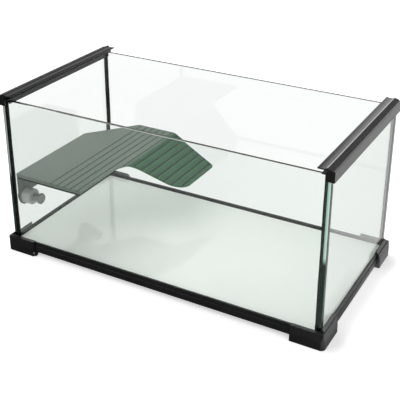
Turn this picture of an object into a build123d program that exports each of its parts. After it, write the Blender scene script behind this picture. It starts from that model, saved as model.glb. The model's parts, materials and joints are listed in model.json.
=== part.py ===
from build123d import *
import os
from math import asin, cos, degrees, pi, radians, sin, tan

# A glass turtle tank on a black plastic base, with two black cover tracks on its short top edges
# and a green basking platform held to the left pane by two twist-lock suction cups.
# Millimetres, +X along the long side, +Z up. The origin is on the ground, under the tank's middle.

# Glass
glass_length = 600.0
glass_depth = 306.0
glass_top = 294.0
glass_seat = 17.5
pane_thickness = 6.0
floor_thickness = 5.0
bond_gap = 0.6
glass_edge_chamfer = 0.6

# Silicone
seal_leg = 6.0
seal_hollow = 1.2
floor_seal_leg = 2.0
floor_seal_hollow = 0.4
rail_bond = 0.8

# Base rails, given as distances out from the glass's outer face and heights above the ground
base_rail_bottom = 8.0
base_rail_top = 26.5
base_rail_out = 4.5
base_rail_step_height = 19.0
base_rail_step = 1.6
base_wall = 2.0
base_ledge = 2.5
base_ledge_reach = 24.0
glass_fit = 0.3

# Corner feet
foot_out = 10.0
foot_arm = 58.0
foot_top = 28.0
foot_shoulder = 15.0
foot_lean = 2.6
foot_flange_top = 33.0
foot_flange_edge = 1.2
foot_rim_width = 1.2
foot_line_width = 0.8
foot_line_depth = 1.0
foot_corner_radius = 8.0
foot_fit = 0.25
foot_pad_reach = 30.0
foot_recess = 5.0
foot_recess_wall = 3.0

# Top rails, given as distances out from the glass's outer face and heights above the glass's top
rail_out = 5.5
rail_skirt = 10.0
rail_skirt_wall = 2.0
rail_skirt_roof = 8.0
rail_overhang = 3.0
rail_ridge_height = 12.0
rail_ridge_width = 1.8
rail_ridge_back = 6.4
rail_ridge_edge = 0.5
rail_slope_top = 10.9
rail_slope_low = 8.4
rail_shoulder_height = 8.0
rail_shoulder_width = 1.7
rail_edge_chamfer = 1.5
rail_groove_width = 1.0
rail_groove_depth = 1.0
rail_flange_height = 10.0
rail_flange_slope = 0.5
rail_flange_reach = 22.0
rail_flange_thickness = 2.6
rail_flange_dip = 0.8
rail_track_back = 6.0
rail_lip_base = 0.4
rail_lip_reach = 15.0
rail_lip_thickness = 2.0
rail_inner_wall = 2.6

# Basking platform
deck_top = 153.0
deck_length = 141.5
deck_left_gap = 5.7
deck_side_gap = 1.2
sheet_thickness = 3.0
rim_height = 4.0
rim_width = 2.2
lip_height = 5.7
lip_radius = 1.5
strip_height = 3.8
strip_edge_radius = 1.2
strip_end_gap = 0.3
deck_corner_radius = 2.0
chamfer_along_x = 71.0
chamfer_along_y = 86.0
crease_offset = 12.5
ramp_run = 86.8
ramp_angle = 29.6
ramp_bend_radius = 16.0
ramp_root_depth = 129.3
ramp_end_width = 119.3
ramp_near_radius = 50.0
groove_pitch = 14.2
groove_width = 1.8
groove_depth = 0.8
groove_margin = 5.8
groove_start = 77.8
groove_count = 12

# Apron and its lobes
apron_thickness = 2.5
apron_inset = 1.8
apron_drop = 44.0
lobe_radius = 17.5
lobe_drop = 49.5

# Twist-lock suction cups
cup_inset = 3.7
cup_edge = 1.2
cup_middle = 2.4
cup_dish = 0.9
cup_glass_gap = 0.3
cup_hub_radius = 6.6
cup_hub_length = 8.0
housing_radius = 14.5
housing_edge_radius = 1.5
housing_length = 18.8
housing_end_wall = 3.0
housing_spigot_radius = 10.0
housing_bore_radius = 7.2
spigot_fit = 0.1
stud_radius = 3.0
stud_head_radius = 5.0
stud_head_thickness = 1.2
stud_fit = 0.08
knob_gap = 0.3
knob_radius = 10.0
knob_edge_radius = 1.8
knob_head_thickness = 6.0
knob_neck_radius = 6.0
knob_foot_radius = 7.5
knob_protrusion = 36.8
knob_end_wall = 2.2
cup_pull = 1.25

# Places worked out from the sizes above
half_length = glass_length / 2
half_depth = glass_depth / 2
inner_x = half_length - pane_thickness
inner_y = half_depth - pane_thickness
floor_top = glass_seat + floor_thickness
sides = {"left": -1, "right": 1}
ends = {"front": -1, "rear": 1}
corners = {f"{end}_{side}": (sides[side], ends[end]) for end in ends for side in sides}

os.makedirs("parts", exist_ok=True)


def save(piece, label):
    """Label a finished piece and write it to its own file."""
    piece.part.label = label
    export_step(piece.part, f"parts/{label}.step")


# Glass panes. The left and right panes overlap the ends of the front and rear panes, and the floor
# pane lies inside all four.
def make_pane(label, x, y, z_low, size_x, size_y, size_z):
    with BuildPart() as pane:
        with BuildSketch(Plane.XY.offset(z_low)):
            with Locations((x, y)):
                Rectangle(size_x, size_y)
        extrude(amount=size_z)
        chamfer(pane.edges(), glass_edge_chamfer)
    save(pane, label)


for end, end_sign in ends.items():
    make_pane(
        f"{end}_pane", 0, end_sign * (half_depth - pane_thickness / 2), glass_seat,
        2 * (inner_x - bond_gap), pane_thickness, glass_top - glass_seat,
    )
for side, side_sign in sides.items():
    make_pane(
        f"{side}_pane", side_sign * (half_length - pane_thickness / 2), 0, glass_seat,
        pane_thickness, glass_depth, glass_top - glass_seat,
    )
make_pane(
    "floor_pane", 0, 0, glass_seat,
    2 * (inner_x - bond_gap), 2 * (inner_y - bond_gap), floor_thickness,
)


# Silicone seals. A bead fills the bond between two panes and shows as a hollow fillet inside.
def draw_fillet(leg, hollow, x_sign, y_sign):
    """Draw a hollow fillet whose square corner is at the origin."""
    with BuildLine() as outline_lines:
        Line((0, 0), (-x_sign * leg, 0))
        SagittaArc((-x_sign * leg, 0), (0, -y_sign * leg), x_sign * y_sign * hollow)
        Line((0, -y_sign * leg), (0, 0))
    make_face(outline_lines.edges())


for corner, (side_sign, end_sign) in corners.items():
    with BuildPart() as corner_seal:
        with BuildSketch(Plane((side_sign * inner_x, end_sign * inner_y, floor_top))):
            draw_fillet(seal_leg, seal_hollow, side_sign, end_sign)
        extrude(amount=glass_top - floor_top - glass_edge_chamfer)
        with BuildSketch(Plane.XY.offset(glass_seat)):
            bond_x = side_sign * (inner_x - bond_gap / 2)
            bond_depth = pane_thickness - glass_edge_chamfer
            with Locations((bond_x, end_sign * (inner_y + bond_depth / 2))):
                Rectangle(bond_gap, bond_depth)
        extrude(amount=glass_top - glass_seat - glass_edge_chamfer)
        with BuildSketch(Plane.XY.offset(floor_top)):
            pool_x = side_sign * (inner_x - seal_leg / 2)
            with Locations((pool_x, end_sign * (inner_y - seal_leg / 2))):
                Rectangle(seal_leg, seal_leg)
        extrude(amount=floor_seal_leg)
    save(corner_seal, f"corner_seal_{corner}")

for end, end_sign in ends.items():
    with BuildPart() as floor_seal:
        start = -inner_x + seal_leg
        with BuildSketch(Plane((start, end_sign * inner_y, floor_top), (0, 1, 0), (1, 0, 0))):
            draw_fillet(floor_seal_leg, floor_seal_hollow, end_sign, -1)
            with Locations((-end_sign * bond_gap / 2, -floor_thickness / 2)):
                Rectangle(bond_gap, floor_thickness)
        extrude(amount=2 * (inner_x - seal_leg))
    save(floor_seal, f"floor_seal_{end}")

for side, side_sign in sides.items():
    with BuildPart() as floor_seal:
        start = inner_y - seal_leg
        with BuildSketch(Plane((side_sign * inner_x, start, floor_top), (1, 0, 0), (0, -1, 0))):
            draw_fillet(floor_seal_leg, floor_seal_hollow, side_sign, -1)
            with Locations((-side_sign * bond_gap / 2, -floor_thickness / 2)):
                Rectangle(bond_gap, floor_thickness)
        extrude(amount=2 * (inner_y - seal_leg))
    save(floor_seal, f"floor_seal_{side}")


# Base rails. Each is an extrusion with a stepped outer wall, a ledge under the glass and an inner leg,
# mitred where it meets the next one.
def draw_base_rail(sign):
    """Draw the section with the glass's outer face at 0, outwards along the sketch's X times sign."""
    step_out = base_rail_out - base_rail_step
    outline = [
        (base_rail_out, base_rail_bottom),
        (base_rail_out, base_rail_step_height - base_rail_step / 2),
        (step_out, base_rail_step_height),
        (step_out, base_rail_top - base_rail_step / 2),
        (step_out - base_rail_step / 2, base_rail_top),
        (glass_fit, base_rail_top),
        (glass_fit, glass_seat),
        (-base_ledge_reach, glass_seat),
        (-base_ledge_reach, base_rail_bottom),
        (-base_ledge_reach + base_wall, base_rail_bottom),
        (-base_ledge_reach + base_wall, glass_seat - base_ledge),
        (base_rail_out - base_wall, glass_seat - base_ledge),
        (base_rail_out - base_wall, base_rail_bottom),
    ]
    with BuildLine() as outline_lines:
        Polyline([(sign * out, height) for out, height in outline], close=True)
    make_face(outline_lines.edges())


mitre_reach = base_rail_out + base_ledge_reach

for end, end_sign in ends.items():
    with BuildPart() as base_rail:
        with BuildSketch(Plane((0, end_sign * half_depth, 0), (0, 1, 0), (1, 0, 0))):
            draw_base_rail(end_sign)
        extrude(amount=half_length + base_rail_out, both=True)
        with BuildSketch(Plane.XY):
            for side_sign in sides.values():
                tip_x = side_sign * (half_length + base_rail_out)
                tip_y = end_sign * (half_depth + base_rail_out)
                with BuildLine():
                    Polyline(
                        (tip_x, tip_y),
                        (tip_x, tip_y - end_sign * mitre_reach),
                        (tip_x - side_sign * mitre_reach, tip_y - end_sign * mitre_reach),
                        close=True,
                    )
                make_face()
        extrude(amount=base_rail_top, mode=Mode.SUBTRACT)
    save(base_rail, f"base_rail_{end}")

for side, side_sign in sides.items():
    with BuildPart() as base_rail:
        with BuildSketch(Plane((side_sign * half_length, 0, 0), (1, 0, 0), (0, -1, 0))):
            draw_base_rail(side_sign)
        extrude(amount=half_depth + base_rail_out, both=True)
        with BuildSketch(Plane.XY):
            for end_sign in ends.values():
                tip_x = side_sign * (half_length + base_rail_out)
                tip_y = end_sign * (half_depth + base_rail_out)
                with BuildLine():
                    Polyline(
                        (tip_x, tip_y),
                        (tip_x - side_sign * mitre_reach, tip_y),
                        (tip_x - side_sign * mitre_reach, tip_y - end_sign * mitre_reach),
                        close=True,
                    )
                make_face()
        extrude(amount=base_rail_top, mode=Mode.SUBTRACT)
    save(base_rail, f"base_rail_{side}")


# Corner feet. Each is an angle that wraps the mitred rails outside and below, with a pad that reaches
# under the glass. Its outer faces lean in above a shoulder. On the side arms and the rear arms a flange
# slopes up to the glass behind a fine line, and the front arms are flat on top.
def draw_corner(side_sign, end_sign, out, reach, mode=Mode.ADD):
    """Draw a square that runs inwards from the corner this far out from the glass."""
    corner_x = side_sign * (half_length + out)
    corner_y = end_sign * (half_depth + out)
    with Locations((corner_x - side_sign * reach / 2, corner_y - end_sign * reach / 2)):
        Rectangle(reach, reach, mode=mode)


def draw_foot_section(sign, flange_start):
    """Draw the leaning section, outwards from the glass's outer face along the sketch's X times sign."""
    outline = [
        (foot_out, 0),
        (foot_out, foot_shoulder),
        (foot_out - foot_lean, foot_top),
        (flange_start, foot_top),
        (glass_fit + foot_flange_edge, foot_flange_top),
        (-2 * foot_arm, foot_flange_top),
        (-2 * foot_arm, 0),
    ]
    with BuildLine() as outline_lines:
        Polyline([(sign * out, height) for out, height in outline], close=True)
    make_face(outline_lines.edges())


def draw_foot_plan(side_sign, end_sign, wall):
    """Draw the two arms of the foot in plan, drawn in by a wall."""
    draw_corner(side_sign, end_sign, foot_out - wall, foot_arm - 2 * wall)
    notch = foot_arm - foot_out - foot_pad_reach
    draw_corner(side_sign, end_sign, -foot_pad_reach + wall, notch, Mode.SUBTRACT)


line_out = foot_out - foot_lean - foot_rim_width
flange_start = line_out - foot_line_width

for corner, (side_sign, end_sign) in corners.items():
    with BuildPart() as foot:
        with BuildSketch(Plane.XY) as foot_plan:
            draw_foot_plan(side_sign, end_sign, 0)
            corner_order = foot_plan.vertices().sort_by(
                lambda vertex: side_sign * vertex.X + end_sign * vertex.Y
            )
            fillet(corner_order[-1], foot_corner_radius)
        extrude(amount=foot_flange_top)
        with BuildSketch(Plane((side_sign * half_length, 0, 0), (1, 0, 0), (0, -1, 0))):
            draw_foot_section(side_sign, flange_start)
        extrude(amount=glass_depth, both=True, mode=Mode.INTERSECT)
        with BuildSketch(Plane((0, end_sign * half_depth, 0), (0, 1, 0), (1, 0, 0))):
            draw_foot_section(end_sign, flange_start)
        extrude(amount=glass_length, both=True, mode=Mode.INTERSECT)
        if end_sign < 0:
            with BuildSketch(Plane.XY.offset(foot_top)):
                front_middle = -half_depth - foot_arm / 2
                with Locations((side_sign * half_length, front_middle)):
                    Rectangle(4 * foot_arm, foot_arm)
            extrude(amount=foot_flange_top, mode=Mode.SUBTRACT)
        with BuildSketch(Plane.XY.offset(base_rail_bottom)):
            draw_corner(side_sign, end_sign, base_rail_out + foot_fit, 2 * foot_arm)
        extrude(amount=base_rail_top + foot_fit - base_rail_bottom, mode=Mode.SUBTRACT)
        with BuildSketch(Plane.XY.offset(base_rail_bottom)):
            draw_corner(side_sign, end_sign, glass_fit, 2 * foot_arm)
        extrude(amount=foot_flange_top, mode=Mode.SUBTRACT)
        with BuildSketch(Plane.XY):
            draw_foot_plan(side_sign, end_sign, foot_recess_wall)
        extrude(amount=foot_recess, mode=Mode.SUBTRACT)
        with BuildSketch(Plane.XY.offset(foot_top)):
            draw_corner(side_sign, end_sign, line_out, 2 * foot_arm)
            draw_corner(side_sign, end_sign, flange_start, 2 * foot_arm, Mode.SUBTRACT)
        extrude(amount=-foot_line_depth, mode=Mode.SUBTRACT)
    save(foot, f"corner_foot_{corner}")


# Top rails. Each is a moulding whose slot caps the pane and is closed at both ends, with a track for a
# sliding cover on its inner side.
def draw_top_rail(sign):
    """Draw the section with the glass's outer top edge at the origin, outwards along X times sign."""
    groove_outer = rail_out - rail_edge_chamfer - rail_shoulder_width
    groove_inner = groove_outer - rail_groove_width
    ridge_outer = -rail_ridge_back
    ridge_inner = ridge_outer - rail_ridge_width
    flange_start = ridge_inner - rail_flange_slope
    flange_under = rail_flange_height - rail_flange_thickness
    lip_top = rail_lip_base + rail_lip_thickness
    inner_face = -pane_thickness - glass_fit - rail_inner_wall
    tip_middle = (-rail_flange_reach, rail_flange_height - rail_flange_thickness / 2)
    tip_back = -rail_flange_reach + rail_flange_thickness / 2
    outline = [
        (tip_back, flange_under),
        (-rail_track_back, flange_under),
        (-rail_track_back, lip_top),
        (-rail_lip_reach, lip_top),
        (-rail_lip_reach, rail_lip_base),
        (inner_face, rail_lip_base),
        (inner_face, -rail_skirt),
        (rail_out, -rail_skirt),
        (rail_out, rail_shoulder_height - rail_edge_chamfer),
        (rail_out - rail_edge_chamfer, rail_shoulder_height),
        (groove_outer, rail_shoulder_height),
        (groove_outer, rail_shoulder_height - rail_groove_depth),
        (groove_inner, rail_shoulder_height - rail_groove_depth),
        (groove_inner, rail_slope_low),
        (ridge_outer + rail_groove_width, rail_slope_top),
        (ridge_outer + rail_groove_width, rail_slope_top - rail_groove_depth),
        (ridge_outer, rail_slope_top - rail_groove_depth),
        (ridge_outer, rail_ridge_height - rail_ridge_edge),
        (ridge_outer - rail_ridge_edge, rail_ridge_height),
        (ridge_inner + rail_ridge_edge, rail_ridge_height),
        (ridge_inner, rail_ridge_height - rail_ridge_edge),
        (flange_start, rail_flange_height),
    ]
    dip_middle = ((flange_start + tip_back) / 2, rail_flange_height - rail_flange_dip)
    with BuildLine() as outline_lines:
        Polyline([(sign * out, height) for out, height in outline])
        ThreePointArc(
            (sign * flange_start, rail_flange_height),
            (sign * dip_middle[0], dip_middle[1]),
            (sign * tip_back, rail_flange_height),
        )
        ThreePointArc(
            (sign * tip_back, rail_flange_height),
            (sign * tip_middle[0], tip_middle[1]),
            (sign * tip_back, flange_under),
        )
    make_face(outline_lines.edges())


for side, side_sign in sides.items():
    rail_plane = Plane((side_sign * half_length, 0, glass_top), (1, 0, 0), (0, -1, 0))
    with BuildPart() as top_rail:
        with BuildSketch(rail_plane):
            draw_top_rail(side_sign)
        extrude(amount=half_depth + rail_overhang, both=True)
        with BuildSketch(rail_plane):
            slot_height = rail_skirt + rail_bond
            with Locations((-side_sign * pane_thickness / 2, rail_bond - slot_height / 2)):
                Rectangle(pane_thickness + 2 * glass_fit, slot_height)
            hollow_width = rail_out - rail_skirt_wall - 2 * glass_fit - rail_skirt_wall / 2
            hollow_middle = rail_out - rail_skirt_wall - hollow_width / 2
            with Locations((side_sign * hollow_middle, -rail_skirt + rail_skirt_roof / 2)):
                Rectangle(hollow_width, rail_skirt_roof)
        extrude(amount=half_depth + glass_fit, both=True, mode=Mode.SUBTRACT)
        with BuildSketch(Plane.XY.offset(glass_top + rail_lip_base)):
            notch_length = pane_thickness + seal_leg + 2 * glass_fit
            notch_x = side_sign * (inner_x - rail_inner_wall)
            notch_y = half_depth + glass_fit - notch_length / 2
            with Locations((notch_x, notch_y), (notch_x, -notch_y)):
                Rectangle(2 * rail_inner_wall, notch_length)
        extrude(amount=-rail_skirt - rail_lip_base, mode=Mode.SUBTRACT)
    save(top_rail, f"top_rail_{side}")

    with BuildPart() as rail_seal:
        with BuildSketch(Plane.XY.offset(glass_top)):
            with Locations((side_sign * (half_length - pane_thickness / 2), 0)):
                Rectangle(pane_thickness - 2 * glass_edge_chamfer, glass_depth - 2 * glass_edge_chamfer)
        extrude(amount=rail_bond)
    save(rail_seal, f"rail_seal_{side}")


# Basking platform. One moulding: a landing and a ramp with a rim below, grooves on top, a turned-down
# front edge, and an apron with two lobes along its left edge. A soft strip edges the front.
deck_left = -inner_x + deck_left_gap
deck_right = deck_left + deck_length
crease_x = deck_right + crease_offset
ramp_end = crease_x + ramp_run
near_y = -inner_y + deck_side_gap
far_y = inner_y - deck_side_gap
slope = radians(ramp_angle)


def sheet_line(depth):
    """Give the landing and ramp line this far below the top face, a little longer than the sheet."""
    spare = rim_height
    return [
        (deck_left - spare, deck_top - depth),
        (crease_x - depth * tan(slope / 2), deck_top - depth),
        (ramp_end + spare, deck_top - (ramp_run + spare) * tan(slope) - depth / cos(slope)),
    ]


def draw_sheet(upper, lower):
    """Draw the section between two depths below the top face."""
    with BuildLine() as outline_lines:
        top = FilletPolyline(*sheet_line(upper), radius=ramp_bend_radius - upper)
        bottom = FilletPolyline(*sheet_line(lower), radius=ramp_bend_radius - lower)
        Line(top @ 0, bottom @ 0)
        Line(top @ 1, bottom @ 1)
    make_face(outline_lines.edges())


def draw_platform_plan(inset):
    """Draw the platform's outline from above, drawn in by an inset."""
    with BuildLine() as outline_lines:
        FilletPolyline(
            (deck_left, near_y),
            (deck_right, near_y),
            (deck_right, near_y + ramp_root_depth),
            (ramp_end, far_y - ramp_end_width),
            (ramp_end, far_y),
            (deck_left + chamfer_along_x, far_y),
            (deck_left, far_y - chamfer_along_y),
            radius=[
                deck_corner_radius,
                deck_corner_radius,
                ramp_near_radius,
                ramp_near_radius,
                deck_corner_radius,
                deck_corner_radius,
                deck_corner_radius,
            ],
            close=True,
        )
    make_face(outline_lines.edges())
    if inset:
        offset(amount=-inset, kind=Kind.INTERSECTION)


with BuildPart() as underside:
    with BuildSketch(Plane.XZ):
        draw_sheet(sheet_thickness, 2 * rim_height)
    extrude(amount=inner_y, both=True)
    with BuildSketch(Plane.XY):
        draw_platform_plan(rim_width)
    extrude(amount=glass_top, mode=Mode.INTERSECT)

with BuildPart() as grooves:
    with BuildSketch(Plane.XZ):
        flat_run = crease_x - deck_left
        for count in range(groove_count):
            along = groove_start + count * groove_pitch
            on_ramp = max(0, along - flat_run)
            place = (
                deck_left + min(along, flat_run) + on_ramp * cos(slope),
                deck_top - on_ramp * sin(slope),
            )
            with Locations(place):
                turn = -ramp_angle if on_ramp else 0
                Rectangle(groove_width, 2 * groove_depth, rotation=turn)
    extrude(amount=inner_y, both=True)
    with BuildSketch(Plane.XY):
        draw_platform_plan(groove_margin)
    extrude(amount=glass_top, mode=Mode.INTERSECT)

lip_end = deck_top - lip_height


def draw_front_lip():
    """Draw the landing's turned-down front edge in the YZ plane."""
    with BuildLine() as outline_lines:
        outer_top = (near_y + lip_radius, deck_top)
        outer_side = (near_y, deck_top - lip_radius)
        lip_back = near_y + sheet_thickness
        RadiusArc(outer_side, outer_top, lip_radius)
        Polyline(outer_top, (lip_back, deck_top), (lip_back, lip_end), (near_y, lip_end), outer_side)
    make_face(outline_lines.edges())


with BuildPart() as front_lip:
    with BuildSketch(Plane.YZ.offset(deck_left)):
        draw_front_lip()
    extrude(amount=deck_length)
    with BuildSketch(Plane.XY):
        draw_platform_plan(0)
    extrude(amount=glass_top, mode=Mode.INTERSECT)

apron_near = near_y + apron_inset
apron_far = far_y - chamfer_along_y - apron_inset
apron_length = apron_far - apron_near
cup_z = deck_top - lobe_drop
cups = {"front": apron_near + lobe_radius, "rear": apron_far - lobe_radius}

with BuildPart() as platform:
    with BuildSketch(Plane.XZ):
        draw_sheet(0, rim_height)
    extrude(amount=inner_y, both=True)
    with BuildSketch(Plane.XY):
        draw_platform_plan(0)
    extrude(amount=glass_top, mode=Mode.INTERSECT)
    add(underside.part, mode=Mode.SUBTRACT)
    add(grooves.part, mode=Mode.SUBTRACT)
    with BuildSketch(Plane.XY):
        with Locations((deck_left + deck_length / 2, near_y)):
            Rectangle(2 * deck_length, 2 * sheet_thickness)
    extrude(amount=glass_top, mode=Mode.SUBTRACT)
    add(front_lip.part)
    with BuildSketch(Plane.YZ.offset(deck_left)):
        apron_roof = deck_top - sheet_thickness / 2
        apron_height = apron_drop - sheet_thickness / 2
        with Locations(((apron_near + apron_far) / 2, apron_roof - apron_height / 2)):
            Rectangle(apron_length, apron_height)
        for cup_y in cups.values():
            with Locations((cup_y, cup_z)):
                Circle(lobe_radius)
            with Locations((cup_y, (apron_roof + cup_z) / 2)):
                Rectangle(2 * lobe_radius, apron_roof - cup_z)
        with Locations(*[(cup_y, cup_z) for cup_y in cups.values()]):
            Circle(housing_spigot_radius + spigot_fit, mode=Mode.SUBTRACT)
    extrude(amount=apron_thickness)
save(platform, "basking_platform")

with BuildPart() as front_strip:
    strip_start = deck_left + apron_thickness + strip_end_gap
    with BuildSketch(Plane.YZ.offset(strip_start)):
        with Locations((near_y + sheet_thickness / 2, lip_end - strip_height / 2)):
            Rectangle(sheet_thickness, strip_height)
    extrude(amount=deck_right - deck_corner_radius - strip_start)
    lowest = front_strip.faces().sort_by(Axis.Z)[0]
    fillet(lowest.edges().filter_by(Axis.X), strip_edge_radius)
save(front_strip, "front_strip")


# Twist-lock suction cups. The knob draws the stud and the soft cup on it away from the glass, through
# the housing that stands on the apron's lobe.
cup_radius = lobe_radius - cup_inset
cup_face = -inner_x + cup_glass_gap
cup_back = cup_face + cup_middle
lobe_face = deck_left + apron_thickness
housing_end = lobe_face + housing_length
knob_start = housing_end + knob_gap
knob_end = lobe_face + knob_protrusion
knob_bore_end = knob_end - knob_end_wall
stud_start = cup_face + cup_dish + stud_head_thickness
stud_end = knob_bore_end - cup_pull - knob_gap


def turn_profile(cup_y, outline):
    """Turn an outline of distances along X and out from a cup's own axis into a solid."""
    with BuildSketch(Plane((0, cup_y, cup_z), (1, 0, 0), (0, -1, 0))) as profile:
        with BuildLine():
            Polyline(outline, close=True)
        make_face()
    revolve(profile.sketch, axis=Axis((0, cup_y, cup_z), (1, 0, 0)))


def bore(cup_y, start, length, radius):
    """Cut a round bore along a cup's axis."""
    with BuildSketch(Plane.YZ.offset(start)) as hole:
        with Locations((cup_y, cup_z)):
            Circle(radius)
    extrude(hole.sketch, amount=length, mode=Mode.SUBTRACT)


for end, cup_y in cups.items():
    with BuildPart() as stud:
        turn_profile(cup_y, [
            (stud_start, 0),
            (stud_start, stud_head_radius),
            (stud_start + stud_head_thickness, stud_head_radius),
            (stud_start + stud_head_thickness, stud_radius),
            (stud_end - stud_radius / 3, stud_radius),
            (stud_end, stud_radius * 2 / 3),
            (stud_end, 0),
        ])
    save(stud, f"cup_stud_{end}")

    with BuildPart() as cup:
        turn_profile(cup_y, [
            (cup_face + cup_dish, 0),
            (cup_face, cup_radius - cup_edge),
            (cup_face, cup_radius),
            (cup_face + cup_edge, cup_radius),
            (cup_back, cup_radius - 2 * cup_edge),
            (cup_back, cup_hub_radius),
            (cup_back + cup_hub_length, cup_hub_radius),
            (cup_back + cup_hub_length, 0),
        ])
        add(stud.part, mode=Mode.SUBTRACT)
    save(cup, f"suction_cup_{end}")

    with BuildPart() as housing:
        turn_profile(cup_y, [
            (deck_left, 0),
            (deck_left, housing_spigot_radius),
            (lobe_face, housing_spigot_radius),
            (lobe_face, housing_radius),
            (housing_end, housing_radius),
            (housing_end, 0),
        ])
        fillet(housing.edges().filter_by(GeomType.CIRCLE).group_by(Axis.X)[-1], housing_edge_radius)
        bore(cup_y, deck_left, housing_end - housing_end_wall - deck_left, housing_bore_radius)
        bore(cup_y, deck_left, housing_end - deck_left, stud_radius + stud_fit)
    save(housing, f"cup_housing_{end}")

    with BuildPart() as knob:
        head_start = knob_end - knob_head_thickness
        turn_profile(cup_y, [
            (knob_start, 0),
            (knob_start, knob_foot_radius),
            (knob_start + knob_gap, knob_foot_radius),
            (head_start, knob_neck_radius),
            (head_start, knob_radius),
            (knob_end, knob_radius),
            (knob_end, 0),
        ])
        fillet(knob.edges().filter_by(GeomType.CIRCLE).filter_by(
            lambda edge: edge.radius > knob_radius - knob_gap), knob_edge_radius)
        bore(cup_y, knob_start, knob_bore_end - knob_start, stud_radius + stud_fit)
    save(knob, f"cup_knob_{end}")
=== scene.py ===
import json
import math

import bmesh
import bpy
from mathutils import Matrix, Vector


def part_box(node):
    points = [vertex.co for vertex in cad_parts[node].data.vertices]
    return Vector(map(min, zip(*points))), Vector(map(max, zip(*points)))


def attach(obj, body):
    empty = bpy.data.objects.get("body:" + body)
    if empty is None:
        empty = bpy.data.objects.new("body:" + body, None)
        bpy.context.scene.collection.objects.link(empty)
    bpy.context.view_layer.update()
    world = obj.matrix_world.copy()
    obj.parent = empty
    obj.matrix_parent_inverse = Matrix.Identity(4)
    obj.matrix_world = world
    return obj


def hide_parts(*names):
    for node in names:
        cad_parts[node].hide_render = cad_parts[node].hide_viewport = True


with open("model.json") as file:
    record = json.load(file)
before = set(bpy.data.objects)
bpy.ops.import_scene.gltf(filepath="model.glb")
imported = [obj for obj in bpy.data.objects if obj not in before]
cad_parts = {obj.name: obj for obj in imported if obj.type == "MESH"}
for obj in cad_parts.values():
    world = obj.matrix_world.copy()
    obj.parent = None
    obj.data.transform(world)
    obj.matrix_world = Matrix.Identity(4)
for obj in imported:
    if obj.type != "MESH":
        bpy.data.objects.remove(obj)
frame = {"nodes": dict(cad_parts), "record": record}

nodes = frame["nodes"]
scene = bpy.context.scene
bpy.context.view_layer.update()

# Camera, fitted to the tank's straight edges in the photograph
IMAGE_SIDE = 400
FOCAL_PIXELS = 846.5
SENSOR_WIDTH = 36.0
LENS_SHIFT = -0.15
CAMERA_PLACE = (0.6522, -1.1698, 0.8224)
AZIMUTH, ELEVATION, ROLL = 29.01, 24.09, 0.08

camera_data = bpy.data.cameras.new("camera")
camera_data.sensor_width = SENSOR_WIDTH
camera_data.lens = FOCAL_PIXELS / IMAGE_SIDE * SENSOR_WIDTH
camera_data.shift_y = LENS_SHIFT
camera_data.clip_start = 0.05
camera_data.clip_end = 50.0
camera = bpy.data.objects.new("camera", camera_data)
scene.collection.objects.link(camera)
turn = (
    Matrix.Rotation(math.radians(AZIMUTH), 4, "Z")
    @ Matrix.Rotation(math.radians(90 - ELEVATION), 4, "X")
    @ Matrix.Rotation(math.radians(ROLL), 4, "Z")
)
camera.matrix_world = Matrix.Translation(CAMERA_PLACE) @ turn
scene.camera = camera
scene.view_settings.view_transform = "Standard"


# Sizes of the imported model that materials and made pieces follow, in metres
def rounded_box(node):
    """The lowest and highest corner of a node, to a thousandth of a millimetre."""
    return [[round(value, 6) for value in corner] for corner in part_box(node)]


side_pane_low, side_pane_high = rounded_box("right_pane")
end_pane_low, end_pane_high = rounded_box("rear_pane")
rail_low, rail_high = rounded_box("top_rail_right")
foot_low, foot_high = rounded_box("corner_foot_front_left")
deck_low, deck_high = rounded_box("basking_platform")

PANE_IN_X = side_pane_low[0]
PANE_OUT_X, PANE_OUT_Y, GLASS_TOP = side_pane_high
PANE_MIDDLE_X = (PANE_IN_X + PANE_OUT_X) / 2
PANE_IN_Y = end_pane_low[1]
BOND = PANE_IN_X - end_pane_high[0]
FLOOR_TOP = rounded_box("floor_pane")[1][2]
RAIL_BOTTOM, RAIL_TOP = rail_low[2], rail_high[2]
FOOT_TOP = foot_high[2]

# The platform: its landing, its ramp and their grooves, with the width and depth of the painted shade along
# each groove
DECK_LEFT, DECK_TOP = deck_low[0], deck_high[2]
CREASE_X = DECK_LEFT + 0.154
RAMP_ANGLE = math.radians(29.6)
GROOVE_START, GROOVE_PITCH = 0.0778, 0.0142
LINE_HALF_WIDTH = 0.0012
LINE_ABOVE, LINE_BELOW = 0.0003, 0.0013
FIRST_LINE = -0.2

# The cover rail's ridge, as distances inside the pane's outer face and below the rail's top, including how
# far down the painted highlight on the ridge's top reaches
RIDGE_INSIDE, RIDGE_HALF_WIDTH, RIDGE_HIGHLIGHT_DEPTH = 0.0073, 0.0009, 0.0008
SLOPE_INSIDE, SLOPE_BELOW = 0.0062, 0.0038

# Where the painted light that comes down through a ground edge gives out: painted shade below, pale above
EDGE_DARK_BELOW, EDGE_PALE_ABOVE = 0.146, 0.158


# Materials
BLACK = (0, 0, 0, 1)
WHITE = (1, 1, 1, 1)
GLASS_IOR = 1.5
GLASS_SHADOW = (0.985, 0.995, 0.99, 1)
GLASS_BODY, GLASS_DENSITY = (0.21, 0.49, 0.325, 1), 14.0
# The floor pane's painted glow, which lifts the shade cast on it
FLOOR_PAINTED_GLOW = (0.88, 0.9, 0.86, 1)
CREASE_BLEND = (CREASE_X - 0.004, CREASE_X + 0.003)
CLOUD_SHARE, PALE_EDGE_SHARE = 0.12, 0.35
EDGE_SMOOTHER, SLOPE_ROUGHER = -0.12, 0.45

# Sharp edges are shaded round to this radius. A point counts as near one by how well its rounded and flat
# normals agree, from the first figure or less at the edge to the second away from it.
EDGE_ROUNDING = 0.0006
EDGE_AGREEMENT = (0.78, 0.99)

# The part of a noise's range that its values seldom leave
NOISE_RANGE = (0.3, 0.7)

# The first of a Mix node's two inputs, and its output, among sockets that share their names
MIX_SOCKETS = {"RGBA": (6, 2), "FLOAT": (2, 0)}


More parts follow.
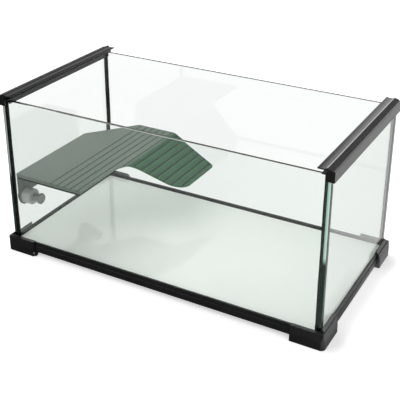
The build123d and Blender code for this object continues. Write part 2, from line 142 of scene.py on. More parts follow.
def linear(red, green, blue):
    """A colour given as 0 to 255 on screen, as linear light."""
    def one(value):
        value /= 255
        return value / 12.92 if value <= 0.04045 else ((value + 0.055) / 1.055) ** 2.4
    return one(red), one(green), one(blue), 1.0


def grey(level, more_blue=0):
    return linear(level, level, level + more_blue)


class Tree:
    """Short calls that add nodes to a node tree and join them."""

    def __init__(self, tree):
        self.tree = tree

    def node(self, kind, **values):
        """Add a node. Each value is one of its settings, or else its input of that name."""
        made = self.tree.nodes.new(kind)
        for key, value in values.items():
            if hasattr(made, key):
                setattr(made, key, value)
            else:
                made.inputs[key.replace("_", " ")].default_value = value
        return made

    def feed(self, value, socket):
        """Join a node's output to an input, or set the input to a plain value."""
        if isinstance(value, bpy.types.NodeSocket):
            self.tree.links.new(value, socket)
        else:
            socket.default_value = value

    def split(self, vector):
        made = self.node("ShaderNodeSeparateXYZ")
        self.feed(vector, made.inputs[0])
        return made.outputs["X"], made.outputs["Y"], made.outputs["Z"]

    def spread(self, source, start, end, low=0.0, high=1.0):
        """Low where the source is before the start, high past the end, and even between them."""
        made = self.node("ShaderNodeMapRange", From_Min=start, From_Max=end, To_Min=low, To_Max=high)
        self.feed(source, made.inputs["Value"])
        return made.outputs["Result"]

    def math(self, operation, first, second=None):
        made = self.node("ShaderNodeMath", operation=operation)
        self.feed(first, made.inputs[0])
        if second is not None:
            self.feed(second, made.inputs[1])
        return made.outputs[0]

    def product(self, first, *others):
        for other in others:
            first = self.math("MULTIPLY", first, other)
        return first

    def mix(self, factor, first, second, kind="RGBA"):
        """The first where the factor is 0 and the second where it is 1."""
        made = self.node("ShaderNodeMix", data_type=kind)
        start, output = MIX_SOCKETS[kind]
        self.feed(factor, made.inputs[0])
        self.feed(first, made.inputs[start])
        self.feed(second, made.inputs[start + 1])
        return made.outputs[output]


class Maker(Tree):
    """A material with one Principled shader, whose inputs are given by their names."""

    def __init__(self, name, **values):
        self.material = bpy.data.materials.new(name)
        self.material.use_nodes = True
        super().__init__(self.material.node_tree)
        self.shader = self.tree.nodes["Principled BSDF"]
        self.output = self.tree.nodes["Material Output"]
        self.rounded = None
        self.shade(**values)

    def shade(self, **values):
        for key, value in values.items():
            self.feed(value, self.shader.inputs[key.replace("_", " ")])

    def place(self):
        """Where a point lies in its own piece, so that a pattern moves with it."""
        return self.node("ShaderNodeTexCoord").outputs["Object"]

    def noise(self, scale, detail=2.0):
        made = self.node("ShaderNodeTexNoise", Scale=scale, Detail=detail)
        self.feed(self.place(), made.inputs["Vector"])
        return made.outputs["Fac"]

    def cloud(self, scale, detail=2.0, low=0.0, high=1.0):
        """A soft uneven pattern that runs from low to high."""
        return self.spread(self.noise(scale, detail), *NOISE_RANGE, low, high)

    def soften(self):
        """Round the edges' shading, and give how near a sharp edge a point lies."""
        self.rounded = self.node("ShaderNodeBevel", Radius=EDGE_ROUNDING, samples=4).outputs["Normal"]
        flat = self.node("ShaderNodeNewGeometry").outputs["Normal"]
        agreement = self.node("ShaderNodeVectorMath", operation="DOT_PRODUCT")
        self.feed(self.rounded, agreement.inputs[0])
        self.feed(flat, agreement.inputs[1])
        return self.spread(agreement.outputs["Value"], *EDGE_AGREEMENT, 1.0, 0.0)

    def bump(self, depth, scale, detail=2.0):
        """A fine grain of this depth, over the rounded edges if there are any."""
        made = self.node("ShaderNodeBump", Distance=depth, Strength=1.0)
        self.feed(self.noise(scale, detail), made.inputs["Height"])
        if self.rounded is not None:
            self.feed(self.rounded, made.inputs["Normal"])
        self.shade(Normal=made.outputs["Normal"])


def make_glass():
    """Clear glass, green through its thickness, whose shadow is nearly clear."""
    made = Maker("clear_glass", Base_Color=WHITE, Roughness=0.0, IOR=GLASS_IOR, Transmission_Weight=1.0)
    path = made.node("ShaderNodeLightPath")
    clear = made.node("ShaderNodeBsdfTransparent", Color=GLASS_SHADOW)
    either = made.node("ShaderNodeMixShader")
    made.feed(path.outputs["Is Shadow Ray"], either.inputs[0])
    made.feed(made.shader.outputs[0], either.inputs[1])
    made.feed(clear.outputs[0], either.inputs[2])
    made.feed(either.outputs[0], made.output.inputs["Surface"])
    body = made.node("ShaderNodeVolumeAbsorption", Color=GLASS_BODY, Density=GLASS_DENSITY)
    made.feed(body.outputs[0], made.output.inputs["Volume"])
    return made.material


def make_glass_edge():
    """The ground edge of a pane, in painted light: pale green where light comes down through it, painted
    shade below, and a faint glow in these colours.
    """
    made = Maker("glass_edge", Roughness=0.35, IOR=GLASS_IOR, Emission_Strength=0.3)
    across, _, height = made.split(made.place())
    outward = made.spread(made.math("ABSOLUTE", across), PANE_IN_X + 0.0005, PANE_OUT_X - 0.0005)
    # Painted light, paler towards the pane's outer face and duller on the left pane
    lit_pale = made.mix(outward, linear(122, 156, 140), linear(186, 218, 202))
    on_left_pane = made.math("LESS_THAN", across, 0.0)
    lit_pale = made.mix(on_left_pane, lit_pale, linear(132, 146, 138))
    shaded_dark = made.mix(made.cloud(scale=18.0, detail=3.0), linear(30, 48, 40), linear(40, 60, 51))
    colour = made.mix(made.spread(height, EDGE_DARK_BELOW, EDGE_PALE_ABOVE), shaded_dark, lit_pale)
    # The painted colours also glow faintly, though the edge is no lamp
    made.shade(Base_Color=colour, Emission_Color=colour)
    made.bump(depth=0.00002, scale=900.0)
    return made.material


def make_floor_glass():
    """The floor pane, nearly white, with a faint painted glow that lifts the shade the panes and the
    platform cast on it.
    """
    made = Maker("white_backed_glass", IOR=GLASS_IOR, Emission_Color=FLOOR_PAINTED_GLOW, Emission_Strength=0.2)
    made.shade(
        Base_Color=made.mix(made.cloud(scale=5.0), linear(242, 246, 241), linear(245, 248, 244)),
        Roughness=made.cloud(scale=6.0, low=0.08, high=0.12),
    )
    return made.material


def find_ridge(made):
    """Masks of the painted highlight along the top of the cover rail's ridge, and of the slope outside it.
    """
    across, _, height = made.split(made.place())
    inside = made.math("SUBTRACT", PANE_OUT_X, made.math("ABSOLUTE", across))
    from_ridge = made.math("ABSOLUTE", made.math("SUBTRACT", inside, RIDGE_INSIDE))
    ridge_highlight = made.product(
        made.math("LESS_THAN", from_ridge, RIDGE_HALF_WIDTH),
        made.math("GREATER_THAN", height, RAIL_TOP - RIDGE_HIGHLIGHT_DEPTH),
    )
    slope = made.product(
        made.math("LESS_THAN", inside, SLOPE_INSIDE),
        made.math("GREATER_THAN", height, RAIL_TOP - SLOPE_BELOW),
    )
    return ridge_highlight, slope


def make_plastic(name, dark, light, pale_edge, roughness, grain, gloss):
    """A moulded plastic: clouded colour, edges a little paler and smoother, and a fine grain.

    The right cover rail's ridge gets a painted highlight, a pale line along its top, and the slope outside
    it is rougher.
    """
    made = Maker(name, Specular_IOR_Level=gloss)
    near_edge = made.soften()
    colour = made.mix(made.cloud(scale=9.0), dark, light)
    # Sharp edges are mixed towards a paler colour
    colour = made.mix(near_edge, colour, pale_edge)
    low, high = roughness
    rough = made.cloud(scale=140.0, detail=4.0, low=low, high=high)
    rough = made.math("ADD", rough, made.math("MULTIPLY", near_edge, EDGE_SMOOTHER))
    if name == "cover_rail":
        ridge_highlight, slope = find_ridge(made)
        # Painted highlight: a pale line along the ridge's top
        colour = made.mix(ridge_highlight, colour, grey(176, 2))
        rough = made.math("ADD", rough, made.math("MULTIPLY", slope, SLOPE_ROUGHER))
    made.shade(Base_Color=colour, Roughness=rough)
    made.bump(depth=grain, scale=2600.0, detail=3.0)
    return made.material


def make_green():
    """The platform's plastic: a grey-green painted sheen on the landing, deep green on the ramp with painted
    shade across its bands, and painted shade in the grooves.
    """
    made = Maker("green_plastic")
    across, _, height = made.split(made.place())
    on_ramp = made.spread(across, *CREASE_BLEND)

    # How far a point lies along the bent surface, counted in grooves, and how deep under it
    past_crease = made.math("MAXIMUM", made.math("SUBTRACT", across, CREASE_X), 0.0)
    up_to_crease = made.math("MINIMUM", across, CREASE_X)
    along = made.math("ADD", up_to_crease, made.math("MULTIPLY", past_crease, 1 / math.cos(RAMP_ANGLE)))
    phase = made.math("SUBTRACT", along, DECK_LEFT + GROOVE_START)
    phase = made.math("DIVIDE", phase, GROOVE_PITCH)
    surface = made.math("SUBTRACT", DECK_TOP, made.math("MULTIPLY", past_crease, math.tan(RAMP_ANGLE)))
    sunk = made.math("SUBTRACT", surface, height)

    # Painted shade in the grooves: a dark line along each, darker on the ramp
    from_line = made.math("MULTIPLY", made.math("PINGPONG", phase, 0.5), GROOVE_PITCH)
    groove_shade = made.product(
        made.math("LESS_THAN", from_line, LINE_HALF_WIDTH),
        made.math("GREATER_THAN", sunk, -LINE_ABOVE),
        made.math("LESS_THAN", sunk, LINE_BELOW),
        made.math("GREATER_THAN", phase, FIRST_LINE),
    )
    groove_shade_colour = made.mix(on_ramp, linear(36, 50, 38), linear(5, 22, 12))

    # Painted light: a grey-green sheen on the landing, greyer towards its left end, and painted shade on the
    # ramp that darkens each band towards the next groove
    along_landing = made.spread(across, DECK_LEFT, DECK_LEFT + 0.1)
    landing_sheen = made.mix(along_landing, linear(122, 128, 121), linear(110, 125, 112))
    past_line = made.spread(made.math("FRACT", phase), 0.1, 0.95)
    ramp_band_shade = made.mix(past_line, linear(52, 114, 74), linear(34, 82, 54))
    colour = made.mix(on_ramp, landing_sheen, ramp_band_shade)
    cloud = made.math("MULTIPLY", made.cloud(scale=24.0, detail=3.0), CLOUD_SHARE)
    colour = made.mix(cloud, colour, linear(96, 140, 112))
    colour = made.mix(groove_shade, colour, groove_shade_colour)
    # Sharp edges are mixed towards a paler green
    pale_edge = made.math("MULTIPLY", made.soften(), PALE_EDGE_SHARE)
    colour = made.mix(pale_edge, colour, linear(150, 164, 150))
    made.shade(Base_Color=colour, Roughness=made.cloud(scale=160.0, detail=4.0, low=0.40, high=0.52))
    made.bump(depth=0.00004, scale=2200.0, detail=3.0)
    return made.material


def make_vinyl():
    """The soft discs' plastic, smooth and a little translucent."""
    made = Maker("soft_vinyl", Subsurface_Weight=0.3, Subsurface_Scale=0.003)
    made.shade(
        Base_Color=made.mix(made.cloud(scale=30.0), linear(178, 182, 180), linear(192, 196, 194)),
        Roughness=made.cloud(scale=90.0, detail=3.0, low=0.16, high=0.26),
    )
    made.bump(depth=0.00003, scale=320.0)
    return made.material


# Each plastic's dark, light and edge colours, range of roughness, depth of grain, and gloss
PLASTICS = {
    "black_silicone": (grey(14), grey(19), grey(22), (0.24, 0.38), 0.00001, 0.5),
    "black_plastic": (grey(25, 1), grey(31, 1), grey(70, 1), (0.32, 0.42), 0.00003, 1.0),
    "cover_rail": (grey(25, 1), grey(31, 1), grey(70, 1), (0.17, 0.25), 0.00003, 1.0),
    # A darker, less glossy copy of the cover rail's plastic: painted shade on the left cover rail
    "shaded_cover_rail_left": (grey(22, 1), grey(28, 1), grey(58, 1), (0.17, 0.25), 0.00003, 0.5),
    "black_rubber": (grey(8), grey(13), grey(16), (0.5, 0.62), 0.00003, 0.2),
    # A darker, less glossy copy of the black plastic: painted shade on the left and rear base rails
    "shaded_base_rail": (grey(20, 1), grey(26, 1), grey(52, 1), (0.4, 0.5), 0.00003, 0.3),
    "grey_plastic": (grey(206), grey(214), grey(222), (0.38, 0.46), 0.00002, 0.5),
    "grey_knob": (grey(158, 1), grey(168, 1), grey(182, 1), (0.38, 0.46), 0.00002, 0.5),
    "white_nylon": (grey(214, -4), grey(222, -3), grey(228, -2), (0.35, 0.45), 0.00002, 0.5),
}
finishes = {name: make_plastic(name, *values) for name, values in PLASTICS.items()}
finishes["clear_glass"] = make_glass()
finishes["glass_edge"] = make_glass_edge()
finishes["white_backed_glass"] = make_floor_glass()
finishes["green_plastic"] = make_green()
finishes["soft_vinyl"] = make_vinyl()

# Rails whose finish isn't simply that of their slot: the right cover rail with a painted ridge highlight,
# and darker, less glossy copies as painted shade on the left cover rail and the left and rear base rails
RAIL_FINISH = {
    "top_rail_left": "shaded_cover_rail_left",
    "top_rail_right": "cover_rail",
    "base_rail_left": "shaded_base_rail",
    "base_rail_rear": "shaded_base_rail",
}
for part in frame["record"]["subparts"]:
    finish = RAIL_FINISH.get(part["node"], part["material_slot"])
    materials = nodes[part["node"]].data.materials
    materials.clear()
    materials.append(finishes[finish])


# Tools for the pieces that stand in for plain solids
SMOOTH_BELOW = math.radians(38)

# How far a bead reaches into the glass it lies on, so that no gap shows
BEAD_SUNK = 0.00004


def fix_normals(mesh):
    """Turn every face outwards, and mark the edges that are sharp."""
    work = bmesh.new()
    work.from_mesh(mesh)
    bmesh.ops.recalc_face_normals(work, faces=work.faces)
    for edge in work.edges:
        edge.smooth = len(edge.link_faces) == 2 and edge.calc_face_angle(0) < SMOOTH_BELOW
    work.to_mesh(mesh)
    work.free()


def add_piece(name, points, faces, finish, body, *replaced):
    """Make a piece that rides on a body, and that stands for the CAD nodes it replaces."""
    mesh = bpy.data.meshes.new(name)
    mesh.from_pydata(points, [], faces)
    mesh.validate()
    mesh.shade_smooth()
    mesh.materials.append(finishes[finish])
    piece = bpy.data.objects.new(name, mesh)
    scene.collection.objects.link(piece)
    fix_normals(mesh)
    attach(piece, body)
    "clear_glass" if finish == "glass_edge" else finish
    if replaced:
        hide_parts(*replaced)
    return piece


def sweep(section_at, place, stations):
    """Loft closed sections along the stations, with flat ends."""
    rings = [[place(u, v, station) for u, v in section_at(station)] for station in stations]
    count = len(rings[0])
    points = [point for ring in rings for point in ring]
    faces = []
    for index in range(len(rings) - 1):
        low, high = index * count, (index + 1) * count
        for side in range(count):
            after = (side + 1) % count
            faces.append((low + side, low + after, high + after, high + side))
    faces.append(tuple(range(count)))
    faces.append(tuple(range(len(points) - count, len(points))))
    return points, faces


def lathe(profile, centre_y, centre_z, segments, radius_at=lambda radius, angle: radius):
    """Turn a profile of (x, radius), which starts and ends on the axis, about a line along X."""
    points = [(profile[0][0], centre_y, centre_z)]
    inner = profile[1:-1]
    for x, radius in inner:
        for step in range(segments):
            angle = 2 * math.pi * step / segments
            reach = radius_at(radius, angle)
            points.append((x, centre_y + reach * math.cos(angle), centre_z + reach * math.sin(angle)))
    points.append((profile[-1][0], centre_y, centre_z))
    faces = []
    for step in range(segments):
        after = (step + 1) % segments
        faces.append((0, 1 + after, 1 + step))
        for ring in range(len(inner) - 1):
            low, high = 1 + ring * segments, 1 + (ring + 1) * segments
            faces.append((low + step, low + after, high + after, high + step))
        last = 1 + (len(inner) - 1) * segments
        faces.append((len(points) - 1, last + step, last + after))
    return points, faces


def steps(start, end, pitch):
    """Even stations from start to end, as near this pitch as they come."""
    count = max(2, round(abs(end - start) / pitch))
    return [start + (end - start) * index / count for index in range(count + 1)]


def wobble(where, seed, size):
    """A small smooth unevenness along a bead: a slow wave, and two quick ones on it."""
    slow_wave, quick_wave, quickest_wave = 0.019, 0.0071, 0.0031
    slow = math.sin(where / slow_wave + 2.3 * seed)
    quick = math.sin(where / quick_wave + 5.1 * seed)
    quick += 0.6 * math.sin(where / quickest_wave + 3.7 * seed)
    return size * (0.55 * slow + 0.3 * quick)


def bead_section(first_leg, second_leg, hollow, bond_depth):
    """A tooled bead in a corner at (0, 0), with the bond strip that runs on between the panes."""
    middle = (first_leg / 2 - math.sqrt(2) * hollow, second_leg / 2 - math.sqrt(2) * hollow)
    last = 8
    face = []
    for step in range(last + 1):
        share = step / last
        old, both, new = (1 - share) ** 2, 2 * share * (1 - share), share ** 2
        face.append((both * middle[0] + new * first_leg, old * second_leg + both * middle[1]))
    face[0] = (-BEAD_SUNK, second_leg)
    face[last] = (first_leg, -BEAD_SUNK)
    bond_face = BOND + BEAD_SUNK
    return [(-BEAD_SUNK, -bond_depth)] + face + [(bond_face, -BEAD_SUNK), (bond_face, -bond_depth)]


# Silicone: the beads' legs and bonds, how uneven they are, and the pitch of their stations
CORNER_LEG, CORNER_WOBBLE, CORNER_BOND = 0.00565, 0.0003, 0.0054
CORNER_HOLLOW, CORNER_SWELLING = 0.0012, 0.0017
FLOOR_LEG, FLOOR_WOBBLE, FLOOR_BOND = 0.00185, 0.00013, 0.0049
FLOOR_HOLLOW = 0.0003
FLOOR_BEAD_SHORT = 0.0055
STRIP_HALF, STRIP_WOBBLE = 0.0023, 0.0001
STRIP_RISE, STRIP_CORNER = 0.0004, 0.0003
BEAD_PITCH, STRIP_PITCH = 0.004, 0.006


def add_corner_bead(corner, side, end, seed):
    """The bead up an inner corner, thinner at the top and swelling into the floor's beads."""
    top = GLASS_TOP - BOND
    foot, tip = 0.003, 0.0012

    def section(height):
        near_floor = max(0.0, 1 - (height - FLOOR_TOP) / foot)
        from_top = min(1.0, (top - height) / tip)
        leg = CORNER_LEG * (0.8 + 0.2 * from_top)
        first = leg + wobble(height, seed, CORNER_WOBBLE) * (1 - near_floor)
        second = leg + wobble(height, seed + 7, CORNER_WOBBLE) * (1 - near_floor)
        return bead_section(first, second, CORNER_HOLLOW - CORNER_SWELLING * near_floor, CORNER_BOND)

    def place(first, second, height):
        return side * (PANE_IN_X - first), end * (PANE_IN_Y - second), height

    heights = [FLOOR_TOP + 0.001 * step for step in range(3)]
    heights += steps(FLOOR_TOP + foot, top - tip, BEAD_PITCH)
    heights += [top - 0.0005, top]
    add_piece(f"corner_bead_{corner}", *sweep(section, place, heights),
              "black_silicone", "tank", f"corner_seal_{corner}")


def add_floor_bead(name, side, end, seed):
    """The bead along one edge of the floor, which ends inside the corners' beads."""
    def section(where):
        first = FLOOR_LEG + wobble(where, seed + 3, FLOOR_WOBBLE)
        second = FLOOR_LEG + wobble(where, seed + 9, FLOOR_WOBBLE)
        return bead_section(first, second, FLOOR_HOLLOW, FLOOR_BOND)

    def place(across, up, where):
        if side:
            return side * (PANE_IN_X - across), where, FLOOR_TOP + up
        return where, end * (PANE_IN_Y - across), FLOOR_TOP + up

    reach = (PANE_IN_Y if side else PANE_IN_X) - FLOOR_BEAD_SHORT
    add_piece(f"floor_bead_{name}", *sweep(section, place, steps(-reach, reach, BEAD_PITCH)),
              "black_silicone", "tank", f"floor_seal_{name}")


def add_rail_bond(name, side, seed):
    """The bond strip between a side pane's top and its cover rail."""
    def section(where):
        half = STRIP_HALF + wobble(where, seed, STRIP_WOBBLE)
        flat, rise = half - STRIP_CORNER, STRIP_RISE
        right = [(flat, -rise), (half, -rise / 2), (half, rise / 2), (flat, rise)]
        left = [(-flat, rise), (-half, rise / 2), (-half, -rise / 2)]
        return [(-flat, -rise)] + right + left

    def place(across, up, where):
        return side * (PANE_MIDDLE_X + across), where, GLASS_TOP + STRIP_RISE + up

    reach = PANE_OUT_Y - BOND
    add_piece(f"rail_bond_{name}", *sweep(section, place, steps(-reach, reach, STRIP_PITCH)),
              "black_silicone", "tank", f"rail_seal_{name}")


corners = {"front_left": (-1, -1), "front_right": (1, -1), "rear_left": (-1, 1), "rear_right": (1, 1)}
for seed, (corner, (side, end)) in enumerate(corners.items()):
    add_corner_bead(corner, side, end, seed)

edges = {"front": (0, -1), "rear": (0, 1), "left": (-1, 0), "right": (1, 0)}
for seed, (name, (side, end)) in enumerate(edges.items()):
    add_floor_bead(name, side, end, seed)

sides = {"left": -1, "right": 1}
for seed, (name, side) in enumerate(sides.items()):
    add_rail_bond(name, side, seed)


# Soft edging under the front of the landing
def add_front_edging():
    """A soft strip, flat where it meets the lip, round below, and narrower at its ends."""
    low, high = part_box("front_strip")
    middle_y = (low[1] + high[1]) / 2
    full_half, end_length, end_loss = 0.00146, 0.001, 0.45
    corner_width, corner_height = 0.0002, -0.0003
    round_height = 0.0013
    last = 8

    def section(where):
        from_end = min(where - low[0], high[0] - where)
        full = 1 - end_loss * max(0.0, 1 - from_end / end_length) ** 2
        half = full_half * full + wobble(where, 2, 0.00003)
        drop = (high[2] - low[2]) * (0.98 + 0.02 * math.sin(where / 0.011))
        outline = [(half - corner_width, 0.0), (half, corner_height)]
        for step in range(last + 1):
            angle = math.pi * step / last
            outline.append((half * math.cos(angle), -drop + round_height - round_height * math.sin(angle)))
        return outline + [(-half, corner_height), (-half + corner_width, 0.0)]

    def place(across, up, where):
        return where, middle_y + across, high[2] + up

    stations = [low[0] + 0.0005 * step for step in range(3)]
    stations += steps(low[0] + 0.0015, high[0] - 0.0015, BEAD_PITCH)
    stations += [high[0] - 0.0005 * step for step in (2, 1, 0)]
    add_piece("front_edging", *sweep(section, place, stations), "black_rubber", "platform", "front_strip")


add_front_edging()


# Suction cups and knobs
CUP_SEGMENTS, KNOB_SEGMENTS, PIN_SEGMENTS = 72, 200, 24
CUP_WAVES, CUP_WAVE_HEIGHT = 3, 0.004
STEM_WITHIN = 0.012
GRIPS, GRIP_DEPTH, GRIPS_FROM = 20, 0.00055, 0.0093


def add_soft_cup(end):
    """The soft disc with its stem, hollow where it lies on the glass and where the stud goes in."""
    low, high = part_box(f"suction_cup_{end}")
    rim = (high[1] - low[1]) / 2
    widest = rim * 0.995
    hollow_face = [
        (0.0009, 0), (0.00086, 0.003), (0.0007, 0.006), (0.00045, 0.009), (0.00015, rim - 0.0016),
    ]
    lip = [
        (0.00002, rim - 0.0008), (0.00005, rim - 0.0002), (0.0003, rim - 0.00002), (0.0006, rim - 0.0002),
    ]
    back = [
        (0.0009, rim - 0.0011), (0.0014, rim - 0.0022), (0.0020, rim - 0.0031), (0.0023, rim - 0.0046),
        (0.0024, 0.0082), (0.0027, 0.0072), (0.0034, 0.0067),
    ]
    stem = [
        (0.006, 0.0066), (0.0096, 0.0065), (0.0102, 0.0062), (0.0104, 0.0056), (0.0104, 0.0036),
    ]
    bore = [
        (0.0102, 0.0031), (0.0036, 0.00305), (0.0033, 0.0032), (0.0033, 0.00505), (0.0021, 0.00505),
        (0.0021, 0),
    ]
    profile = [(low[0] + x, min(radius, widest)) for x, radius in hollow_face + lip + back + stem + bore]

    def uneven(radius, angle):
        """Slow waves around the disc, and none on the stem."""
        if radius <= STEM_WITHIN:
            return radius
        return radius * (1 + CUP_WAVE_HEIGHT * math.sin(CUP_WAVES * angle + 0.4))

    centre_y, centre_z = (low[1] + high[1]) / 2, (low[2] + high[2]) / 2
    add_piece(f"soft_cup_{end}", *lathe(profile, centre_y, centre_z, CUP_SEGMENTS, uneven),
              "soft_vinyl", f"{end}_cup", f"suction_cup_{end}")
    return centre_y, centre_z


def add_ribbed_knob(end, centre_y, centre_z):
    """The knob with its collar, its waist and a head with finger grips around it."""
    low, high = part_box(f"cup_knob_{end}")
    length = high[0] - low[0]
    head = length - 0.006
    bore = [(length - 0.0022, 0), (length - 0.0022, 0.00309), (0, 0.00309)]
    waist = [
        (0, 0.0070), (0.00012, 0.0074), (0.0005, 0.00745), (0.003, 0.0069), (0.008, 0.0063),
        (head - 0.0006, 0.00602), (head - 0.0001, 0.0063),
    ]
    grip = [
        (head, 0.0072), (head + 0.0001, 0.0086), (head + 0.0005, 0.0094), (head + 0.0012, 0.0099),
        (head + 0.0019, 0.01), (length - 0.0019, 0.01), (length - 0.0012, 0.0099), (length - 0.0005, 0.0094),
    ]
    dished_top = [
        (length - 0.0001, 0.0085), (length, 0.0076), (length - 0.00005, 0.0068), (length - 0.0005, 0.0062),
        (length - 0.0008, 0.0052), (length - 0.0009, 0),
    ]
    profile = [(low[0] + x, radius) for x, radius in bore + waist + grip + dished_top]

    def ribbed(radius, angle):
        """Shallow finger grips around the head."""
        if radius < GRIPS_FROM:
            return radius
        return radius - GRIP_DEPTH * (0.5 + 0.5 * math.cos(GRIPS * angle)) ** 2

    add_piece(f"ribbed_knob_{end}", *lathe(profile, centre_y, centre_z, KNOB_SEGMENTS, ribbed),
              "grey_knob", f"{end}_knob", f"cup_knob_{end}")


for end in ("front", "rear"):
    add_ribbed_knob(end, *add_soft_cup(end))


# Ground edges of the two side panes, over which the end panes don't reach
def add_ground_edge(name, side, end):
    half, proud, skin = 0.0024, 0.00002, 0.00004

    def section(_):
        return [(-half, 0), (half, 0), (half, skin), (-half, skin)]

    def place(across, out, height):
        return side * PANE_MIDDLE_X + across, end * (PANE_OUT_Y + proud + out), height

    heights = steps(FOOT_TOP + 0.001, RAIL_BOTTOM - 0.0006, 0.01)
    # Its finish is the glass edge's painted light and faint glow
    add_piece(f"ground_edge_{name}", *sweep(section, place, heights), "glass_edge", "tank")


for name, side in sides.items():
    for end_name, end in (("front", -1), ("rear", 1)):
        add_ground_edge(f"{end_name}_{name}", side, end)


# Small hooked clip at the inner end of the front left foot, with a pale pin
CLIP_LEFT = foot_high[0] - 0.00025
CLIP_FRONT = foot_low[1] + 0.0018
CLIP_DEPTH = 0.0064


def add_clip():
    def section(_):
        return [(0, 0.0092), (0.0022, 0.0092), (0.0022, 0.0040), (0.0046, 0.0036), (0.0052, 0.0016),
                (0.0044, 0.0008), (0.0006, 0.0008), (0, 0.0014)]

    def place(across, up, where):
        return CLIP_LEFT + across, where, up

    stations = steps(CLIP_FRONT, CLIP_FRONT + CLIP_DEPTH, 0.002)
    clip = add_piece("foot_clip", *sweep(section, place, stations), "black_plastic", "tank")
    rounding = clip.modifiers.new("rounding", "BEVEL")
    rounding.width = 0.0004
    rounding.segments = 2


def add_clip_pin():
    """A pin with a low domed head, turned so that its axis runs from rear to front."""
    profile = [(0, 0), (0, 0.0009), (0.0003, 0.00115), (0.0008, 0.0011), (0.0011, 0.0007), (0.0012, 0)]
    points, faces = lathe(profile, 0, 0, PIN_SEGMENTS)
    pin_x, pin_y, pin_z = CLIP_LEFT + 0.00115, CLIP_FRONT + 0.0001, 0.0068
    points = [(pin_x + y, pin_y - x, pin_z + z) for x, y, z in points]
    add_piece("clip_pin", points, faces, "white_nylon", "tank")


add_clip()
add_clip_pin()

# Floor and light
STAGE_REACH, STAGE_DROP = 12.0, 0.0004
STAGE_GREY = (0.88, 0.88, 0.88, 1)
STAGE_IN_GLASS = (0.03, 0.03, 0.03, 1)
STAGE_LIFT = 0.5
STAGE_IN_GLOSS = 0.7

# Where the stage turns bright in reflections, along X and along Y
STAGE_BESIDE = (0.30, 0.34)
STAGE_BEHIND = (-0.10, 0.10)

# How far from the tank its contact shadow reaches, and how open the darkest part of it is
CONTACT_REACH, CONTACT_FULL = 0.035, 0.55

# How much a direction to the right and to the rear counts, and between which sums the room turns bright
LEAN_RIGHT, LEAN_BACK = 0.5, 0.85
LEAN_RANGE = (-0.75, 0.15)
ROOM_DARK, ROOM_BRIGHT = 0.84, 1.1

# The room in reflections, which is darker above these heights and further left than these directions
GLOSS_DARK, GLOSS_BRIGHT = 0.1, 1.15
GLOSS_ABOVE, ABOVE_RANGE = 0.04, (0.40, 0.54)
GLOSS_LEFT, LEFT_RANGE = 0.2, (-0.62, -0.35)

LAMP_PLACE, LAMP_AIM = (-1.4, 0.9, 1.9), (0, 0, 0.1)
LAMP_SIDE, LAMP_POWER = 2.2, 8.0


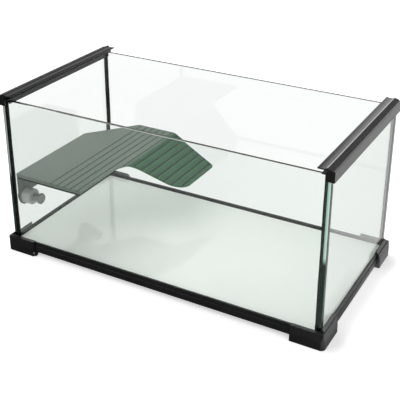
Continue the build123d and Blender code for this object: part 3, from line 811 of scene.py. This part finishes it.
def make_stage_finish():
    """White to the camera, with a soft contact shadow to the right of the tank.

    Reflections show it bright only beside and behind the tank.
    """
    made = Maker("floor", Roughness=0.9, Specular_IOR_Level=0.1, Emission_Color=WHITE)
    path = made.node("ShaderNodeLightPath").outputs
    across, back, _ = made.split(made.place())
    beside = made.spread(across, *STAGE_BESIDE)
    behind = made.spread(back, *STAGE_BEHIND)

    near = made.node("ShaderNodeAmbientOcclusion", Distance=CONTACT_REACH, samples=8)
    contact = made.mix(beside, WHITE, made.spread(near.outputs["AO"], CONTACT_FULL, 1.0))
    lift = made.product(path["Is Camera Ray"], made.math("MULTIPLY", contact, STAGE_LIFT))
    shown = made.math("ADD", lift, path["Is Transmission Ray"])

    reflected = made.math("SUBTRACT", path["Is Glossy Ray"], path["Is Transmission Ray"])
    reflected = made.math("MAXIMUM", reflected, 0.0)
    bright_part = made.math("MULTIPLY", made.math("MAXIMUM", beside, behind), STAGE_IN_GLOSS)
    glossy = made.product(reflected, bright_part)
    made.shade(Emission_Strength=made.math("ADD", shown, glossy))

    in_glass = made.math("MAXIMUM", path["Is Glossy Ray"], path["Is Transmission Ray"])
    colour = made.mix(contact, BLACK, STAGE_GREY)
    made.shade(Base_Color=made.mix(in_glass, colour, STAGE_IN_GLASS))
    return made.material


def make_stage():
    corner_signs = ((-1, -1), (1, -1), (1, 1), (-1, 1))
    mesh = bpy.data.meshes.new("floor")
    mesh.from_pydata([(STAGE_REACH * x, STAGE_REACH * y, -STAGE_DROP) for x, y in corner_signs],
                     [], [(0, 1, 2, 3)])
    mesh.materials.append(make_stage_finish())
    floor = bpy.data.objects.new("floor", mesh)
    scene.collection.objects.link(floor)


def make_world():
    """White where it is seen, and a room that is bright behind and to the right.

    In reflections it is dark from some way above the horizon and at the far left.
    """
    world = bpy.data.worlds.new("world")
    scene.world = world
    world.use_nodes = True
    made = Tree(world.node_tree)
    background = made.tree.nodes["Background"]
    background.inputs["Color"].default_value = WHITE
    path = made.node("ShaderNodeLightPath").outputs
    right, back, up = made.split(made.node("ShaderNodeTexCoord").outputs["Generated"])
    lean = made.math("ADD", made.math("MULTIPLY", right, LEAN_RIGHT), made.math("MULTIPLY", back, LEAN_BACK))

    def by_direction(dark, bright):
        return made.spread(lean, *LEAN_RANGE, dark, bright)

    above = made.spread(up, *ABOVE_RANGE, 1.0, GLOSS_ABOVE)
    left = made.spread(right, *LEFT_RANGE, GLOSS_LEFT, 1.0)
    gloss = made.product(by_direction(GLOSS_DARK, GLOSS_BRIGHT), above, left)
    lit = made.mix(path["Is Glossy Ray"], by_direction(ROOM_DARK, ROOM_BRIGHT), gloss, kind="FLOAT")
    seen = made.math("MAXIMUM", path["Is Camera Ray"], path["Is Transmission Ray"])
    made.feed(made.mix(seen, lit, 1.0, kind="FLOAT"), background.inputs["Strength"])


def make_lamp():
    data = bpy.data.lights.new("key", "AREA")
    data.size = LAMP_SIDE
    data.energy = LAMP_POWER
    lamp = bpy.data.objects.new("key", data)
    scene.collection.objects.link(lamp)
    lamp.location = LAMP_PLACE
    lamp.rotation_euler = (Vector(LAMP_AIM) - Vector(LAMP_PLACE)).to_track_quat("-Z", "Y").to_euler()


make_stage()
make_world()
make_lamp()
